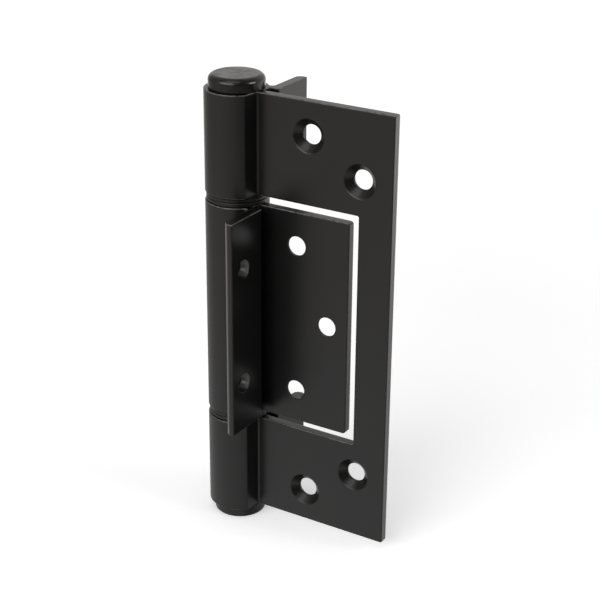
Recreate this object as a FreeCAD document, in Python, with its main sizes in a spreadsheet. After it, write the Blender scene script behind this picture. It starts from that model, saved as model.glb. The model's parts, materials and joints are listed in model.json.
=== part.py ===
import FreeCAD, Part
import math
import os
import re

import Sketcher

# Interfold hinge: two leaves cut from one extruded section, nested in one plane, turning on a pin.
# Sizes are millimetres. Sections are drawn about the pivot axis, with z = 0 at mid-height,
# x along the leaves and y towards the panel behind the outer leaf.
DRIVING_SIZES = {
    # Leaf section
    "plate_thick": 2.0,
    "barrel_radius": 7.15,
    "flat_corner": 5.2,
    "flat_root": 5.8,
    "flange_near": 6.1,
    "flange_thick": 2.3,
    "flange_tip": 15.1,
    "relief_start": 6.0,
    "relief_width": 2.3,
    # Leaf outlines
    "outer_height": 100.0,
    "outer_edge": 38.8,
    "cutout_edge": 30.85,
    "inner_height": 50.0,
    "inner_edge": 28.75,
    # Rounding of the extrusion, the cut corners and the deburred edges
    "tip_round": 1.6,
    "web_round": 0.7,
    "root_round": 0.45,
    "outer_corner_round": 0.4,
    "inner_corner_round": 0.75,
    "edge_round": 0.18,
    "rim_round": 0.15,
    # Screw holes
    "screw_radius": 2.2,
    "sink_radius": 3.8,
    "sink_angle": 90.0,
    "near_screw_x": 18.45,
    "near_screw_z": 42.4,
    "far_screw_x": 30.95,
    "far_screw_z": 34.7,
    "pair_screw_x": 15.85,
    "pair_screw_z": 17.3,
    "lone_screw_x": 23.6,
    "flange_screw_y": 10.6,
    "outer_flange_z": 38.5,
    "inner_flange_z": 13.5,
    # Pin, bushes and caps
    "pin_radius": 3.5,
    "pin_half": 46.0,
    "pin_chamfer": 0.5,
    "pin_clearance": 0.03,
    "bore_radius": 4.5,
    "washer_radius": 6.88,
    "washer_thick": 1.0,
    "washer_face_round": 0.2,
    "washer_back_round": 0.1,
    "washer_step": 0.2,
    "washer_step_radius": 6.45,
    "washer_gap": 0.05,
    "sleeve_length": 11.0,
    "plug_length": 9.0,
    "socket_depth": 5.0,
    "cap_foot_round": 0.3,
    "top_cap_radius": 6.2,
    "top_cap_height": 3.1,
    "top_cap_round": 1.35,
    "bottom_cap_radius": 5.95,
    "bottom_cap_height": 2.65,
    "bottom_cap_round": 0.45,
}

doc = FreeCAD.newDocument("interfold_hinge")
sheet = doc.addObject("Spreadsheet::Sheet", "Sizes")
for row, (alias, value) in enumerate(DRIVING_SIZES.items(), start=1):
    sheet.set(f"A{row}", alias)
    sheet.set(f"B{row}", str(value))
    sheet.setAlias(f"B{row}", alias)
doc.recompute()

# Worked-out sizes, written in the sheet's own words
CUTOUT_HALF = "(inner_height / 2 + 2 * washer_thick + washer_gap)"
FLANGE_FAR = "(flange_near + flange_thick)"
RELIEF_END = "(plate_thick / 2 + relief_width)"
BUSH_BORE = "(pin_radius + pin_clearance)"
WASHER_BACK = "(washer_thick - washer_step)"


def bound(expression):
    """The expression with every size name pointed at the sheet."""
    return re.sub(r"[a-z]\w*", lambda word: "Sizes." + word.group(0), expression)


def number(expression):
    return float(sheet.evalExpression(bound(expression)))


def new_body(label, height="0", flipped=False):
    """An empty body, with the row's origin on the outer leaf's seat between its near screws."""
    body = doc.addObject("PartDesign::Body", label)
    body.Label = label
    if flipped:
        body.Placement.Rotation = FreeCAD.Rotation(FreeCAD.Vector(1, 0, 0), 180)
    body.setExpression("Placement.Base.x", bound("-near_screw_x"))
    body.setExpression("Placement.Base.y", bound("-plate_thick / 2"))
    body.setExpression("Placement.Base.z", bound(height))
    return body


def new_sketch(body, name, plane, offset="0"):
    """A sketch on one of the body's own origin planes, moved along that plane's normal."""
    sketch = body.newObject("Sketcher::SketchObject", name)
    support = next(item for item in body.Origin.OriginFeatures if item.Role == plane)
    sketch.AttachmentSupport = [(support, "")]
    sketch.MapMode = "FlatFace"
    sketch.setExpression("AttachmentOffset.Base.z", bound(offset))
    return sketch


def bind_constraint(sketch, constraint, expression):
    index = sketch.addConstraint(constraint)
    sketch.setExpression(f"Constraints[{index}]", bound(expression))


def place_point(sketch, edge, end, x, y):
    """Fix one end of an edge at (x, y) from the sketch's origin; None leaves that coordinate free."""
    for kind, axis, expression in (("DistanceX", -2, x), ("DistanceY", -1, y)):
        if expression is None:
            continue
        if number(expression) == 0:
            sketch.addConstraint(Sketcher.Constraint("PointOnObject", edge, end, axis))
        else:
            value = number(expression)
            bind_constraint(sketch, Sketcher.Constraint(kind, -1, 1, edge, end, value), expression)


def add_polygon(sketch, corners):
    """A closed outline of straight edges through corners given as pairs of expressions."""
    points = [FreeCAD.Vector(number(x), number(y), 0) for x, y in corners]
    last = len(points) - 1
    for index, point in enumerate(points):
        sketch.addGeometry(Part.LineSegment(point, points[(index + 1) % len(points)]), False)
    for index in range(len(points)):
        following = 0 if index == last else index + 1
        sketch.addConstraint(Sketcher.Constraint("Coincident", index, 2, following, 1))
    for index, (x, y) in enumerate(corners):
        place_point(sketch, index, 1, x, y)


def add_circles(sketch, centres, radius):
    for x, y in centres:
        centre = FreeCAD.Vector(number(x), number(y), 0)
        circle = Part.Circle(centre, FreeCAD.Vector(0, 0, 1), number(radius))
        index = sketch.addGeometry(circle, False)
        place_point(sketch, index, 3, x, y)
        bind_constraint(sketch, Sketcher.Constraint("Radius", index, number(radius)), radius)


def add_leaf_section(sketch, edge, side):
    """The extruded section: plate, barrel with one flat, and a flange on the given side of the plate."""
    sign = "" if side > 0 else "-"
    face = f"{sign}plate_thick / 2"
    back = "-plate_thick / 2" if side > 0 else "plate_thick / 2"
    relief = f"{sign}{RELIEF_END}"
    tip = f"{sign}flange_tip"
    corners = [
        ("flat_corner", None),
        ("flat_root", back),
        (edge, back),
        (edge, face),
        ("relief_start", face),
        ("relief_start", relief),
        (FLANGE_FAR, relief),
        (FLANGE_FAR, tip),
        ("flange_near", tip),
        ("flange_near", None),
    ]
    radius = number("barrel_radius")

    def on_barrel(x, way):
        return way * math.sqrt(radius ** 2 - number(x) ** 2)

    points = [FreeCAD.Vector(number(x), 0 if y is None else number(y), 0) for x, y in corners]
    points[0].y = on_barrel("flat_corner", -side)
    points[-1].y = on_barrel("flange_near", side)
    lines = len(points) - 1
    for start, end in zip(points, points[1:]):
        sketch.addGeometry(Part.LineSegment(start, end), False)
    for index in range(lines - 1):
        sketch.addConstraint(Sketcher.Constraint("Coincident", index, 2, index + 1, 1))
    # The barrel runs counter-clockwise from the flange to the flat, or from the flat to the flange
    begin, finish = (points[-1], points[0]) if side > 0 else (points[0], points[-1])
    start_angle = math.atan2(begin.y, begin.x)
    end_angle = math.atan2(finish.y, finish.x) + 2 * math.pi
    circle = Part.Circle(FreeCAD.Vector(0, 0, 0), FreeCAD.Vector(0, 0, 1), radius)
    arc = sketch.addGeometry(Part.ArcOfCircle(circle, start_angle, end_angle), False)
    flange_end, flat_end = (1, 2) if side > 0 else (2, 1)
    sketch.addConstraint(Sketcher.Constraint("Coincident", arc, 3, -1, 1))
    sketch.addConstraint(Sketcher.Constraint("Coincident", arc, flange_end, lines - 1, 2))
    sketch.addConstraint(Sketcher.Constraint("Coincident", arc, flat_end, 0, 1))
    bind_constraint(sketch, Sketcher.Constraint("Radius", arc, radius), "barrel_radius")
    for index, (x, y) in enumerate(corners[:-1]):
        place_point(sketch, index, 1, x, y)
    place_point(sketch, lines - 1, 2, *corners[-1])


def pad_midplane(body, sketch, name, length):
    pad = body.newObject("PartDesign::Pad", name)
    pad.Profile = sketch
    pad.SideType = "Symmetric"
    pad.setExpression("Length", bound(length))
    doc.recompute()
    return pad


def pocket_through(body, sketch, name):
    """Cut the sketch right through the body, both ways from its plane."""
    before = body.Shape.Volume
    pocket = body.newObject("PartDesign::Pocket", name)
    pocket.Profile = sketch
    pocket.Type = "ThroughAll"
    pocket.SideType = "Symmetric"
    doc.recompute()
    check_cut(body, before, name)
    return pocket


def check_cut(body, before, name):
    if body.Shape.Volume >= before - 1e-6:
        raise RuntimeError(f"{body.Label}: {name} cut nothing")


def countersunk_holes(body, name, centres, offset, reversed_way):
    """Countersunk clearance holes, sunk from a plane parallel to the plate."""
    sketch = new_sketch(body, name + "_centres", "XZ_Plane", offset)
    add_circles(sketch, centres, "screw_radius")
    doc.recompute()
    before = body.Shape.Volume
    hole = body.newObject("PartDesign::Hole", name)
    hole.Profile = sketch
    doc.recompute()
    hole.ThreadType = "None"
    hole.DepthType = "ThroughAll"
    hole.Reversed = reversed_way
    hole.HoleCutType = "Countersink"
    hole.HoleCutCustomValues = True
    hole.setExpression("Diameter", bound("2 * screw_radius"))
    hole.setExpression("HoleCutDiameter", bound("2 * sink_radius"))
    hole.setExpression("HoleCutCountersinkAngle", bound("sink_angle"))
    doc.recompute()
    check_cut(body, before, name)
    return hole


def flange_holes(body, name, y, heights):
    """Plain holes through the flange, along the leaf."""
    sketch = new_sketch(body, name + "_centres", "YZ_Plane", FLANGE_FAR)
    add_circles(sketch, [(y, z) for z in heights], "screw_radius")
    doc.recompute()
    before = body.Shape.Volume
    pocket = body.newObject("PartDesign::Pocket", name)
    pocket.Profile = sketch
    pocket.setExpression("Length", bound("flange_thick"))
    doc.recompute()
    check_cut(body, before, name)
    return pocket


def round_edges(body, name, radius, chosen):
    """Round every edge of the body so far that the test picks."""
    base = body.Tip
    names = [f"Edge{i}" for i, edge in enumerate(base.Shape.Edges, start=1) if chosen(edge)]
    if not names:
        raise RuntimeError(f"{body.Label}: {name} found no edge")
    fillet = body.newObject("PartDesign::Fillet", name)
    fillet.Base = (base, names)
    fillet.setExpression("Radius", bound(radius))
    doc.recompute()
    return fillet


def curve_type(edge):
    """The kind of curve an edge follows, or nothing where a blend's edge has no plain kind."""
    try:
        return edge.Curve.TypeId
    except TypeError:
        return ""


def edge_test(direction, spots):
    """Picks straight edges along a direction that pass through one of the given places."""
    def chosen(edge):
        if curve_type(edge) != "Part::GeomLine":
            return False
        if abs(abs(edge.Curve.Direction.dot(direction)) - 1) > 1e-6:
            return False
        middle = edge.CenterOfMass
        across = middle - direction * middle.dot(direction)
        return any((across - spot).Length < 1e-3 for spot in spots)
    return chosen


def convex_rim(body, skip):
    """Picks the sharp outward edges between faces, apart from round holes and what skip names."""
    shape = body.Tip.Shape

    def chosen(edge):
        if skip(edge):
            return False
        faces = shape.ancestorsOfType(edge, Part.Face)
        if len(faces) != 2:
            return False
        middle = edge.valueAt((edge.FirstParameter + edge.LastParameter) / 2)
        normals = []
        for face in faces:
            u, v = face.Surface.parameter(middle)
            normals.append(face.normalAt(u, v))
        if normals[0].getAngle(normals[1]) < math.radians(20):
            return False
        probe = middle + (normals[0] + normals[1]).normalize() * 0.02
        return not shape.isInside(probe, 1e-4, False)
    return chosen


def round_hole_edge(edge):
    return curve_type(edge) == "Part::GeomCircle" and edge.isClosed()


def screw_rim(edge):
    """The mouth of a countersink, or either end of a hole through a flange."""
    if not round_hole_edge(edge):
        return False
    along_leaf = abs(edge.Curve.Axis.x) > 0.9
    wanted = "screw_radius" if along_leaf else "sink_radius"
    return abs(edge.Curve.Radius - number(wanted)) < 1e-4


def make_leaf(label, height, edge, side):
    """The padded section with its drawn corners, bored for the bushes."""
    body = new_body(label)
    section = new_sketch(body, label + "_section", "XY_Plane")
    add_leaf_section(section, edge, side)
    doc.recompute()
    pad_midplane(body, section, label + "_extrusion", height)
    up = FreeCAD.Vector(0, 0, 1)

    def spot(x, y):
        return FreeCAD.Vector(number(x), side * number(y), 0)

    barrel_meets_flange = math.sqrt(number("barrel_radius") ** 2 - number("flange_near") ** 2)
    round_edges(body, label + "_tip", "tip_round", edge_test(up, [spot("flange_near", "flange_tip")]))
    roots = [
        spot("relief_start", "plate_thick / 2"),
        spot("relief_start", RELIEF_END),
        spot(FLANGE_FAR, RELIEF_END),
        spot("flat_root", "-plate_thick / 2"),
    ]
    round_edges(body, label + "_roots", "root_round", edge_test(up, roots))
    web = FreeCAD.Vector(number("flange_near"), side * barrel_meets_flange, 0)
    round_edges(body, label + "_web", "web_round", edge_test(up, [web]))
    bore = new_sketch(body, label + "_bore_circle", "XY_Plane")
    add_circles(bore, [("0", "0")], "bore_radius")
    pocket_through(body, bore, label + "_bore")
    return body


def finish_leaf(body, corners, rounding):
    """Round the plate's cut corners, seen square on, then every sharp outward edge."""
    across = FreeCAD.Vector(0, 1, 0)
    spots = [FreeCAD.Vector(number(x), 0, number(z)) for x, z in corners]
    round_edges(body, body.Label + "_corners", rounding, edge_test(across, spots))
    round_edges(body, body.Label + "_edges", "edge_round", convex_rim(body, round_hole_edge))


def make_outer_leaf():
    body = make_leaf("outer_leaf", "outer_height", "outer_edge", side=1)
    window = new_sketch(body, "cutout_outline", "XZ_Plane")
    add_polygon(window, [
        ("-2 * barrel_radius", f"-{CUTOUT_HALF}"),
        ("cutout_edge", f"-{CUTOUT_HALF}"),
        ("cutout_edge", CUTOUT_HALF),
        ("-2 * barrel_radius", CUTOUT_HALF),
    ])
    pocket_through(body, window, "cutout")
    finish_leaf(body, [
        ("outer_edge", "outer_height / 2"),
        ("outer_edge", "-outer_height / 2"),
        ("cutout_edge", CUTOUT_HALF),
        ("cutout_edge", f"-{CUTOUT_HALF}"),
    ], "outer_corner_round")
    screws = [
        ("near_screw_x", "near_screw_z"),
        ("far_screw_x", "far_screw_z"),
        ("far_screw_x", "-far_screw_z"),
        ("near_screw_x", "-near_screw_z"),
    ]
    countersunk_holes(body, "outer_screws", screws, "plate_thick / 2", False)
    flange_holes(body, "outer_flange_screws", "flange_screw_y", ["outer_flange_z", "-outer_flange_z"])
    round_edges(body, "outer_screw_rims", "rim_round", screw_rim)
    return body


def make_inner_leaf():
    body = make_leaf("inner_leaf", "inner_height", "inner_edge", side=-1)
    finish_leaf(body, [
        ("inner_edge", "inner_height / 2"),
        ("inner_edge", "-inner_height / 2"),
    ], "inner_corner_round")
    screws = [
        ("pair_screw_x", "pair_screw_z"),
        ("lone_screw_x", "0"),
        ("pair_screw_x", "-pair_screw_z"),
    ]
    countersunk_holes(body, "inner_screws", screws, "-plate_thick / 2", True)
    flange_holes(body, "inner_flange_screws", "-flange_screw_y", ["inner_flange_z", "-inner_flange_z"])
    round_edges(body, "inner_screw_rims", "rim_round", screw_rim)
    return body


def revolve(body, sketch, name):
    turned = body.newObject("PartDesign::Revolution", name)
    turned.Profile = sketch
    turned.ReferenceAxis = (sketch, ["V_Axis"])
    turned.Angle = 360
    doc.recompute()
    return turned


def ring_test(radius, height):
    """Picks the circular edge of a turned piece at the given radius and height."""
    def chosen(edge):
        if curve_type(edge) != "Part::GeomCircle":
            return False
        return abs(edge.Curve.Radius - radius) < 1e-4 and abs(edge.Curve.Center.z - height) < 1e-4
    return chosen


def make_pin():
    """The steel pin, chamfered at both ends."""
    body = new_body("hinge_pin")
    half = new_sketch(body, "pin_half_section", "XZ_Plane")
    add_polygon(half, [
        ("0", "-pin_half"),
        ("pin_radius - pin_chamfer", "-pin_half"),
        ("pin_radius", "-pin_half + pin_chamfer"),
        ("pin_radius", "pin_half - pin_chamfer"),
        ("pin_radius - pin_chamfer", "pin_half"),
        ("0", "pin_half"),
    ])
    revolve(body, half, "pin_turning")
    return body


def make_bush(label, height, flipped):
    """A flanged bush: rubbing face at its own z = 0, a low step against the knuckle, a sleeve inside it."""
    body = new_body(label, height, flipped)
    half = new_sketch(body, label + "_half_section", "XZ_Plane")
    add_polygon(half, [
        (BUSH_BORE, "0"),
        ("washer_radius", "0"),
        ("washer_radius", WASHER_BACK),
        ("washer_step_radius", WASHER_BACK),
        ("washer_step_radius", "washer_thick"),
        ("bore_radius", "washer_thick"),
        ("bore_radius", "washer_thick + sleeve_length"),
        (BUSH_BORE, "washer_thick + sleeve_length"),
    ])
    revolve(body, half, label + "_turning")
    rim = number("washer_radius")
    for side, level in (("face", "0"), ("back", WASHER_BACK)):
        round_edges(body, f"{label}_{side}", f"washer_{side}_round", ring_test(rim, number(level)))
    return body


def make_cap(label, height, flipped, radius, rise, rounding):
    """A plug whose socket grips the pin's end, with a round head that stands on the knuckle."""
    body = new_body(label, height, flipped)
    half = new_sketch(body, label + "_half_section", "XZ_Plane")
    add_polygon(half, [
        ("pin_radius", "-plug_length"),
        ("bore_radius", "-plug_length"),
        ("bore_radius", "0"),
        (radius, "0"),
        (radius, rise),
        ("0", rise),
        ("0", "-plug_length + socket_depth"),
        ("pin_radius", "-plug_length + socket_depth"),
    ])
    revolve(body, half, label + "_turning")
    round_edges(body, label + "_shoulder", rounding, ring_test(number(radius), number(rise)))
    round_edges(body, label + "_foot", "cap_foot_round", ring_test(number(radius), 0))
    return body


washer_face = "(inner_height / 2 + washer_thick)"
pieces = [
    make_outer_leaf(),
    make_inner_leaf(),
    make_pin(),
    make_bush("top_knuckle_bush", f"{washer_face} + washer_gap", flipped=False),
    make_bush("middle_upper_bush", washer_face, flipped=True),
    make_bush("middle_lower_bush", f"-{washer_face}", flipped=False),
    make_bush("bottom_knuckle_bush", f"-{washer_face} - washer_gap", flipped=True),
    make_cap("top_cap", "outer_height / 2", False, "top_cap_radius", "top_cap_height", "top_cap_round"),
    make_cap("bottom_cap", "-outer_height / 2", True,
             "bottom_cap_radius", "bottom_cap_height", "bottom_cap_round"),
]
doc.recompute()

for item in doc.Objects:
    if "Invalid" in item.State or "Error" in item.State:
        raise RuntimeError(f"{item.Label} did not build: {item.State}")
for piece in pieces:
    if piece.Shape.isNull() or not piece.Shape.isValid() or len(piece.Shape.Solids) != 1:
        raise RuntimeError(f"{piece.Label} is not one valid solid")

os.makedirs("parts", exist_ok=True)
for piece in pieces:
    piece.Shape.exportStep(f"parts/{piece.Label}.step")
    box = piece.Shape.BoundBox
    print(f"{piece.Label}: {piece.Shape.Volume:.1f} mm3, x {box.XMin:.2f} to {box.XMax:.2f}, "
          f"y {box.YMin:.2f} to {box.YMax:.2f}, z {box.ZMin:.2f} to {box.ZMax:.2f}")
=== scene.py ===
import json
from math import radians

import bpy
from mathutils import Matrix, Vector


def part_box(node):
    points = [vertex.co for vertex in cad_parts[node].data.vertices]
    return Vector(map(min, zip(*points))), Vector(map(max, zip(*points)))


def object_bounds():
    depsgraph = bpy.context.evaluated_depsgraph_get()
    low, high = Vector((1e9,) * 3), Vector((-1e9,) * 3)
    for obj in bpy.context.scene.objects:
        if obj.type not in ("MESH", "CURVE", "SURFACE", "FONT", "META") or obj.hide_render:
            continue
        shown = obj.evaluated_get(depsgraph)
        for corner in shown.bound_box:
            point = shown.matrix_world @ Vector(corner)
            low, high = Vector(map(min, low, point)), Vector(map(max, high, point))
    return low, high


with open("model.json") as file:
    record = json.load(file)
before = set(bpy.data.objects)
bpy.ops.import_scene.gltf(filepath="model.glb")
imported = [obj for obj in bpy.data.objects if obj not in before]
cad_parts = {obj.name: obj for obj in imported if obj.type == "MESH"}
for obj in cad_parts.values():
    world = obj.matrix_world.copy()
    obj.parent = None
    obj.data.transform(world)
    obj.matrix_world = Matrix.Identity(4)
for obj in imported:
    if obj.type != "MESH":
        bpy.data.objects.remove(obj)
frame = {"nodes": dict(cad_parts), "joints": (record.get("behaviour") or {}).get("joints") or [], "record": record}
cadLow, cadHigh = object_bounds()
nodes = frame["nodes"]
pivot = Vector(frame["joints"][0]["pos_m"])  # barrel axis at mid-height
mm = 0.001  # in metres
noiseMiddle = (0.3, 0.7)  # where most of a noise's values lie
fullShare = 0.7  # of a mask's reach, before it fades out
print("frame loaded:", ", ".join(sorted(nodes)))


def clearTree(owner):  # a material's or the world's nodes, emptied
    owner.use_nodes = True
    owner.node_tree.nodes.clear()
    return owner.node_tree


def startMaterial(name):
    material = bpy.data.materials.new(name)
    tree = clearTree(material)
    output = tree.nodes.new("ShaderNodeOutputMaterial")
    shader = tree.nodes.new("ShaderNodeBsdfPrincipled")
    tree.links.new(shader.outputs["BSDF"], output.inputs["Surface"])
    where = tree.nodes.new("ShaderNodeTexCoord").outputs["Object"]
    return material, tree, shader, where


def feed(tree, socket, value):  # a plain value, or another node's result
    if isinstance(value, bpy.types.NodeSocket):
        tree.links.new(value, socket)
    else:
        socket.default_value = value


def noise(tree, where, size, detail=2.0, roughness=0.5):  # size is metres across one blob
    texture = tree.nodes.new("ShaderNodeTexNoise")
    texture.inputs["Scale"].default_value = 1 / size
    texture.inputs["Detail"].default_value = detail
    texture.inputs["Roughness"].default_value = roughness
    tree.links.new(where, texture.inputs["Vector"])
    return texture.outputs["Fac"]


def span(tree, value, fromRange, toRange=(0, 1), smooth=False):
    ranged = tree.nodes.new("ShaderNodeMapRange")
    ranged.interpolation_type = "SMOOTHSTEP" if smooth else "LINEAR"
    for socket, number in zip(("From Min", "From Max", "To Min", "To Max"), (*fromRange, *toRange)):
        ranged.inputs[socket].default_value = number
    tree.links.new(value, ranged.inputs["Value"])
    return ranged.outputs["Result"]


def spread(tree, value, low, high):  # a noise's useful middle stretched to low..high
    return span(tree, value, noiseMiddle, (low, high))


def tones(tree, amount, first, second):  # two colours, of which the first may be another node's result
    mix = tree.nodes.new("ShaderNodeMix")
    mix.data_type = "RGBA"
    tree.links.new(amount, mix.inputs["Factor"])
    feed(tree, mix.inputs["A"], (*first, 1) if isinstance(first, tuple) else first)
    mix.inputs["B"].default_value = (*second, 1)
    return mix.outputs["Result"]


def strengths(tree, amount, first, second):  # each a number or another node's result
    mix = tree.nodes.new("ShaderNodeMix")
    tree.links.new(amount, mix.inputs["Factor"])
    feed(tree, mix.inputs["A"], first)
    feed(tree, mix.inputs["B"], second)
    return mix.outputs["Result"]


def calculate(tree, operation, *values):  # each a number or another node's result
    math = tree.nodes.new("ShaderNodeMath")
    math.operation = operation
    for socket, value in zip(math.inputs, values):
        feed(tree, socket, value)
    return math.outputs["Value"]


def product(tree, first, *others):
    for other in others:
        first = calculate(tree, "MULTIPLY", first, other)
    return first


def absolute(tree, value):
    return calculate(tree, "ABSOLUTE", value)


def splitAxes(tree, vector):
    axes = tree.nodes.new("ShaderNodeSeparateXYZ")
    tree.links.new(vector, axes.inputs["Vector"])
    return axes.outputs


def relief(tree, height, depth, below=None):
    bump = tree.nodes.new("ShaderNodeBump")
    bump.inputs["Strength"].default_value = 1.0
    bump.inputs["Distance"].default_value = depth
    tree.links.new(height, bump.inputs["Height"])
    if below is not None:
        tree.links.new(below, bump.inputs["Normal"])
    return bump.outputs["Normal"]


# Where the coat of a leaf is thin, drilled or worn, in lighter tones; on the free edge, the flange's tip and the
# rims the lighter tone is also a painted highlight. A turn says how far a surface faces along an axis, from 0 to
# 1.
coatWearAndSheen = {
    "thinCoatAndSheen": (0.085, 0.083, 0.08),  # on the free edge and the flange's tip: thin coat and a painted highlight
    "drilled": (0.075, 0.074, 0.071),  # in the mouths of the flange holes
    "wornAndHighlight": (0.15, 0.147, 0.142),  # on the rims of the ends: wear and a painted highlight
    "drilledRoughness": 0.6,
    "patchSize": 0.0008,
    "patches": (0.2, 1.0),
    "rim": 0.00025,  # how far from an end or the free edge it reaches
    "edgeTurn": (0.9, 0.99),
    "rimTurn": ((0.15, 0.35), (0.93, 0.99)),  # where the rim's wear sets in, and where it stops
    "cutoutGap": 0.00205,  # between the nested leaf's ends and the cut-out
    "tipTurn": ((0.2, 0.5), (0.85, 0.97)),  # where the tip's coat thins, and where it is whole again
    "tipRound": 0.0016,
    "flangeThick": 0.0023,
    "holeReach": 1.5,  # of a hole's radius
    "holeDepth": (0.0006, 0.0015),  # how deep in a hole the thin coat ends
    "alongHole": (0.2, 0.4),  # turn past which a surface isn't the hole's wall
    "besideHole": (0.3, 0.8),  # turn of the walls towards the barrel and the tip
}


def closeTo(tree, value, place, reach):  # 1 at the place, 0 beyond the reach from it
    off = calculate(tree, "SUBTRACT", value, place)
    return span(tree, absolute(tree, off), (reach * fullShare, reach), (1, 0))


def within(tree, turn, setsIn, stops):  # 1 between the two ranges, 0 before and after them
    return product(tree, span(tree, turn, setsIn), span(tree, turn, stops, (1, 0)))


def readSurface(tree, where):  # a point's place, its height from the middle, and its turn along each axis
    x, y, z = splitAxes(tree, where)
    normal = tree.nodes.new("ShaderNodeTexCoord").outputs["Normal"]
    turns = [absolute(tree, axis) for axis in splitAxes(tree, normal)]
    return {"x": x, "y": y, "height": absolute(tree, z), "turns": turns}


def findFlangeHoles(leaf):  # the pair of screw holes in the leaf's flange, with their place at the mouth
    name = leaf.replace("leaf", "flange_screws")
    return next(mount for mount in frame["record"]["mounts"] if mount["name"] == name)


# The free edge, painted lighter as thin coat and as a highlight
def markFreeEdgeSheen(tree, surface, leaf):
    atEdge = closeTo(tree, surface["x"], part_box(leaf)[1].x, coatWearAndSheen["rim"])
    return product(tree, atEdge, span(tree, surface["turns"][0], coatWearAndSheen["edgeTurn"]))


def markTipThinCoatAndSheen(tree, surface, leaf, holes):  # the flange's round tip, on the side away from the holes' mouths; thin coat and a painted highlight
    mouth, middle, _ = holes["pos_m"]
    tip = min(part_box(leaf), key=lambda corner: abs(corner.y - middle)).y
    atBack = closeTo(tree, surface["x"], mouth - coatWearAndSheen["flangeThick"], coatWearAndSheen["tipRound"])
    atTip = closeTo(tree, surface["y"], tip, coatWearAndSheen["tipRound"])
    return product(tree, atBack, atTip, within(tree, surface["turns"][0], *coatWearAndSheen["tipTurn"]))


def markHoles(tree, surface, holes):  # the side walls of the flange holes, near their mouths
    mouth, middle, _ = holes["pos_m"]
    reach = holes["dims"]["hole_r_mm"] * mm * coatWearAndSheen["holeReach"]
    fromMiddle = holes["dims"]["spacing_y_mm"] * mm / 2
    depths = [mouth - depth for depth in coatWearAndSheen["holeDepth"]]
    return product(
        tree,
        closeTo(tree, surface["y"], middle, reach),
        closeTo(tree, surface["height"], fromMiddle, reach),
        span(tree, surface["x"], depths, (1, 0)),
        span(tree, surface["turns"][0], coatWearAndSheen["alongHole"], (1, 0)),
        span(tree, surface["turns"][1], coatWearAndSheen["besideHole"]),
    )


def markRimWearAndHighlight(tree, surface, where, leaf):  # the rounded rims of its ends and cut-out, in patches; wear and a painted highlight
    atEnd = closeTo(tree, surface["height"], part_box(leaf)[1].z, coatWearAndSheen["rim"])
    if leaf == "outer_leaf":
        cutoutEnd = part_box("inner_leaf")[1].z + coatWearAndSheen["cutoutGap"]
        atCutout = closeTo(tree, surface["height"], cutoutEnd, coatWearAndSheen["rim"])
        atEnd = calculate(tree, "MAXIMUM", atEnd, atCutout)
    patches = spread(tree, noise(tree, where, coatWearAndSheen["patchSize"]), *coatWearAndSheen["patches"])
    return product(tree, atEnd, within(tree, surface["turns"][2], *coatWearAndSheen["rimTurn"]), patches)


def findWearAndSheen(tree, where, leaf):
    surface = readSurface(tree, where)
    holes = findFlangeHoles(leaf)
    edge = markFreeEdgeSheen(tree, surface, leaf)
    tip = markTipThinCoatAndSheen(tree, surface, leaf, holes)
    return {
        "thinCoatAndSheen": calculate(tree, "MAXIMUM", edge, tip),
        "drilled": markHoles(tree, surface, holes),
        "wornAndHighlight": markRimWearAndHighlight(tree, surface, where, leaf),
    }


# Satin black powder coat on both leaves: orange peel over a fine grain
powderCoat = {
    "dark": (0.0018, 0.0018, 0.0019),
    "light": (0.0031, 0.0030, 0.0029),
    "cloud": 0.009,
    "peelSize": 0.0011,
    "peelDepth": 0.0000035,
    "grainSize": 0.00022,
    "grainDepth": 0.0000022,
    "roughness": (0.28, 0.36),
    "specular": 0.5,
    "edgeRound": 0.00045,  # how far the coat's flow softens an edge
}


def makePowderCoat(leaf):
    material, tree, shader, where = startMaterial(leaf + "_powder_coat")
    cloud = spread(tree, noise(tree, where, powderCoat["cloud"], detail=3), 0, 1)
    shade = tones(tree, cloud, powderCoat["dark"], powderCoat["light"])
    wearAndSheen = findWearAndSheen(tree, where, leaf)
    # Lighter tones for thin coat, drilled holes and worn rims; on the edges, tip and rims they are also a painted
    # highlight
    for kind, mask in wearAndSheen.items():
        shade = tones(tree, mask, shade, coatWearAndSheen[kind])
    tree.links.new(shade, shader.inputs["Base Color"])
    grain = noise(tree, where, powderCoat["grainSize"], detail=3, roughness=0.6)
    peel = noise(tree, where, powderCoat["peelSize"], detail=1)
    satin = spread(tree, grain, *powderCoat["roughness"])
    matt = calculate(tree, "MULTIPLY", wearAndSheen["drilled"], coatWearAndSheen["drilledRoughness"])
    tree.links.new(calculate(tree, "MAXIMUM", matt, satin), shader.inputs["Roughness"])
    softened = tree.nodes.new("ShaderNodeBevel")
    softened.inputs["Radius"].default_value = powderCoat["edgeRound"]
    peeled = relief(tree, peel, powderCoat["peelDepth"], softened.outputs["Normal"])
    tree.links.new(relief(tree, grain, powderCoat["grainDepth"], peeled), shader.inputs["Normal"])
    shader.inputs["Specular IOR Level"].default_value = powderCoat["specular"]
    return material


# Moulded black nylon of the caps and bushes
capNylon = {
    "name": "cap_nylon",
    "dark": (0.0040, 0.0038, 0.0035),
    "light": (0.0075, 0.0071, 0.0065),
    "cloud": 0.0022,
    "flowDepth": 0.00003,
    "grainSize": 0.00018,
    "grainDepth": 0.000002,
    "roughness": (0.15, 0.38),
    "specular": 0.39,
}
bushNylon = dict(capNylon, name="bush_nylon", roughness=(0.30, 0.42), flowDepth=0.000004)


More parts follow.
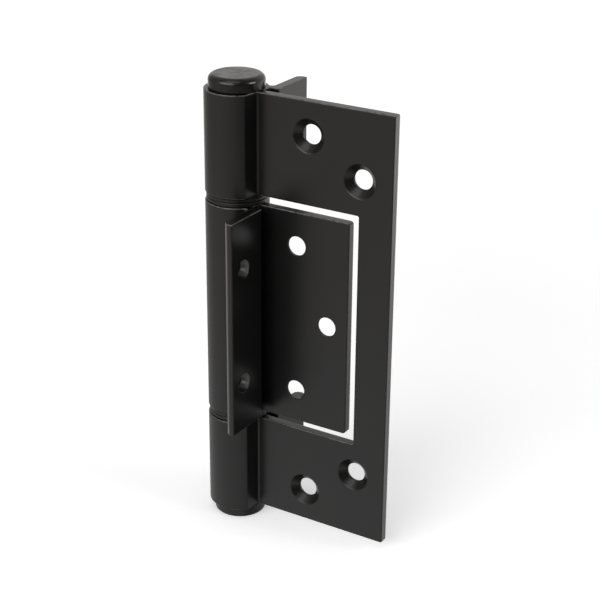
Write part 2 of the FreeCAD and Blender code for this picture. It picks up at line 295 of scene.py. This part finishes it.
def makeNylon(finish):
    material, tree, shader, where = startMaterial(finish["name"])
    flow = noise(tree, where, finish["cloud"], detail=2)
    grain = noise(tree, where, finish["grainSize"], detail=2)
    shade = tones(tree, spread(tree, flow, 0, 1), finish["dark"], finish["light"])
    tree.links.new(shade, shader.inputs["Base Color"])
    tree.links.new(spread(tree, flow, *finish["roughness"]), shader.inputs["Roughness"])
    wavy = relief(tree, flow, finish["flowDepth"])
    tree.links.new(relief(tree, grain, finish["grainDepth"], wavy), shader.inputs["Normal"])
    shader.inputs["Specular IOR Level"].default_value = finish["specular"]
    return material


# Ground steel of the pin, with turning marks round its axis
pinSteel = {
    "dark": (0.42, 0.42, 0.43),
    "light": (0.58, 0.58, 0.59),
    "markSize": 0.0002,
    "markStretch": 0.02,
    "markDepth": 0.000002,
    "roughness": (0.22, 0.36),
}


def makePinSteel():
    material, tree, shader, where = startMaterial("pin_steel")
    squeeze = tree.nodes.new("ShaderNodeMapping")  # marks long around the axis, fine along it
    squeeze.inputs["Scale"].default_value = (pinSteel["markStretch"], pinSteel["markStretch"], 1)
    tree.links.new(where, squeeze.inputs["Vector"])
    marks = noise(tree, squeeze.outputs["Vector"], pinSteel["markSize"], detail=3)
    shade = tones(tree, spread(tree, marks, 0, 1), pinSteel["dark"], pinSteel["light"])
    tree.links.new(shade, shader.inputs["Base Color"])
    tree.links.new(spread(tree, marks, *pinSteel["roughness"]), shader.inputs["Roughness"])
    tree.links.new(relief(tree, marks, pinSteel["markDepth"]), shader.inputs["Normal"])
    shader.inputs["Metallic"].default_value = 1.0
    return material


def dress(material, names):
    for name in names:
        mesh = nodes[name].data
        mesh.materials.clear()
        mesh.materials.append(material)


for leaf in ("outer_leaf", "inner_leaf"):
    dress(makePowderCoat(leaf), [leaf])
dress(makeNylon(capNylon), ["top_cap", "bottom_cap"])
dress(makeNylon(bushNylon), [name for name in nodes if name.endswith("bush")])
dress(makePinSteel(), ["hinge_pin"])
print("finishes: powder coat, cap and bush nylon, pin steel")


# Pale studio table under the bottom cap. Besides the lit table the camera sees a glow,
# so that the table reads as white. The glow is weaker near the hinge: painted shade around it.
table = {
    "halfWidth": 1.6,
    "colour": (0.86, 0.86, 0.86),
    "glow": (0.3, 0.6),  # near the hinge and far from it; weaker near it as painted shade
    "nearToFar": (0.15, 0.6),  # metres from the hinge over which the glow grows
}


def makeTable():
    half = table["halfWidth"]
    mesh = bpy.data.meshes.new("table")
    corners = [(-half, -half), (half, -half), (half, half), (-half, half)]
    mesh.from_pydata([(x, y, cadLow.z) for x, y in corners], [], [(0, 1, 2, 3)])
    floor = bpy.data.objects.new("table", mesh)
    bpy.context.scene.collection.objects.link(floor)
    material = bpy.data.materials.new("table_white")
    tree = clearTree(material)
    output = tree.nodes.new("ShaderNodeOutputMaterial")
    diffuse = tree.nodes.new("ShaderNodeBsdfDiffuse")
    diffuse.inputs["Color"].default_value = (*table["colour"], 1)
    glow = tree.nodes.new("ShaderNodeEmission")
    away = tree.nodes.new("ShaderNodeVectorMath")
    away.operation = "LENGTH"
    tree.links.new(tree.nodes.new("ShaderNodeTexCoord").outputs["Object"], away.inputs[0])
    # Less glow near the hinge: painted shade around it
    glowWithPaintedShade = span(tree, away.outputs["Value"], table["nearToFar"], table["glow"])
    cameraRay = tree.nodes.new("ShaderNodeLightPath").outputs["Is Camera Ray"]
    tree.links.new(product(tree, cameraRay, glowWithPaintedShade), glow.inputs["Strength"])
    both = tree.nodes.new("ShaderNodeAddShader")
    tree.links.new(diffuse.outputs["BSDF"], both.inputs[0])
    tree.links.new(glow.outputs["Emission"], both.inputs[1])
    tree.links.new(both.outputs["Shader"], output.inputs["Surface"])
    mesh.materials.append(material)
    floor.visible_glossy = False  # reflections see the room below it instead


# The room: white for the camera, even fill for matt surfaces, and for reflections a bright wall behind
# the hinge, a front that dims upwards and to the right, and the hinge's own shade straight below.
# Ranges are parts of a unit direction; left, right and behind give strengths by its rise.
room = {
    "backdrop": 1.0,
    "fill": 0.45,
    "left": ((-0.50, 0.88), (-0.20, 0.55)),
    "right": ((-0.50, 0.84), (-0.19, 0.15)),
    "behind": ((-0.42, 0.36), (-0.27, 1.45), (0.26, 0.86)),
    "below": 0.12,
    "leftToRight": (-0.62, 0.55),
    "frontToBack": (0.05, 0.85),
    "downToFront": (-0.95, -0.62),
    "farLeft": (-0.95, -0.60),
    "farLeftShare": 0.68,
    "farRight": (0.55, 0.85),
    "farRightShare": 0.45,
    "warm": (1.0, 0.905, 0.84),  # tint of what is far off
    "nearToFar": (-0.48, -0.28),  # rise over which the tint sets in
    "behindShare": 0.25,  # of the tint that is left behind the hinge
}


def ramp(tree, rise, stops):
    parts = [span(tree, rise, *zip(low, high)) for low, high in zip(stops, stops[1:])]
    strength = parts[0]
    for part in parts[1:]:  # a rise followed by a fall, so the lower of the two holds
        strength = calculate(tree, "MINIMUM", strength, part)
    return strength


def makeRoom():
    world = bpy.data.worlds.new("studio")
    tree = clearTree(world)
    output = tree.nodes.new("ShaderNodeOutputWorld")
    path = tree.nodes.new("ShaderNodeLightPath").outputs
    across, depth, rise = splitAxes(tree, tree.nodes.new("ShaderNodeTexCoord").outputs["Generated"])
    left, right, behind = (ramp(tree, rise, room[side]) for side in ("left", "right", "behind"))
    front = strengths(tree, span(tree, across, room["leftToRight"]), left, right)
    front = product(tree, front, span(tree, across, room["farRight"], (1, room["farRightShare"])))
    around = strengths(tree, span(tree, depth, room["frontToBack"], smooth=True), front, behind)
    around = product(tree, around, span(tree, across, room["farLeft"], (room["farLeftShare"], 1)))
    down = span(tree, rise, room["downToFront"], (1, 0), smooth=True)
    mirrored = strengths(tree, down, around, room["below"])
    reflected = calculate(tree, "MAXIMUM", path["Is Glossy Ray"], path["Is Transmission Ray"])
    lit = strengths(tree, reflected, room["fill"], mirrored)
    seen = strengths(tree, path["Is Camera Ray"], lit, room["backdrop"])
    far = span(tree, rise, room["nearToFar"])
    tinted = product(tree, reflected, far, span(tree, depth, room["frontToBack"], (1, room["behindShare"])))
    background = tree.nodes.new("ShaderNodeBackground")
    tree.links.new(tones(tree, tinted, (1, 1, 1), room["warm"]), background.inputs["Color"])
    tree.links.new(seen, background.inputs["Strength"])
    tree.links.new(background.outputs["Background"], output.inputs["Surface"])
    bpy.context.scene.world = world


# Softboxes that face the hinge: place from the pivot, width and height in metres, and power in watts
softboxes = {
    "front": {"place": (-0.09, -0.71, 0.35), "size": (0.70, 0.26), "power": 3.6},
    "top": {"place": (0.05, -0.36, 0.72), "size": (0.55, 0.45), "power": 1.2},
    "right": {"place": (0.72, 0.13, 0.30), "size": (0.32, 0.25), "power": 2.0},
}


def hangSoftboxes():
    for name, box in softboxes.items():
        lamp = bpy.data.lights.new(name + "_softbox", "AREA")
        lamp.shape = "RECTANGLE"
        lamp.size, lamp.size_y = box["size"]
        lamp.energy = box["power"]
        holder = bpy.data.objects.new(name + "_softbox", lamp)
        holder.location = pivot + Vector(box["place"])
        holder.rotation_euler = (pivot - holder.location).to_track_quat("-Z", "Y").to_euler()
        bpy.context.scene.collection.objects.link(holder)


# The camera of the photograph: turned about the pin, tipped down, and the pin's middle in its view
view = {
    "sensor": 36,  # millimetres, as the lens
    "lens": 90.857,
    "turn": 31.167,  # degrees, as the tip and the roll
    "tip": 23.469,
    "roll": 0.480,
    "fromPivot": (0.013833, 0.000525, 0.341807),  # metres right, up and back
    "nearest": 0.01,  # metres from the lens at which the view starts
}


def turned(degrees, axis):
    return Matrix.Rotation(radians(degrees), 4, axis)


def placeCamera():
    lens = bpy.data.cameras.new("photo_camera")
    lens.sensor_width = view["sensor"]
    lens.lens = view["lens"]
    lens.clip_start = view["nearest"]
    camera = bpy.data.objects.new("photo_camera", lens)
    level = turned(90 - view["tip"], "X")  # an unturned camera looks straight down
    facing = turned(view["turn"], "Z") @ level @ turned(view["roll"], "Z")
    camera.matrix_world = Matrix.Translation(pivot) @ facing @ Matrix.Translation(view["fromPivot"])
    bpy.context.scene.collection.objects.link(camera)
    bpy.context.scene.camera = camera


makeTable()
makeRoom()
hangSoftboxes()
placeCamera()
bpy.context.scene.view_settings.view_transform = "Standard"
print("studio: table, room, softboxes and camera")
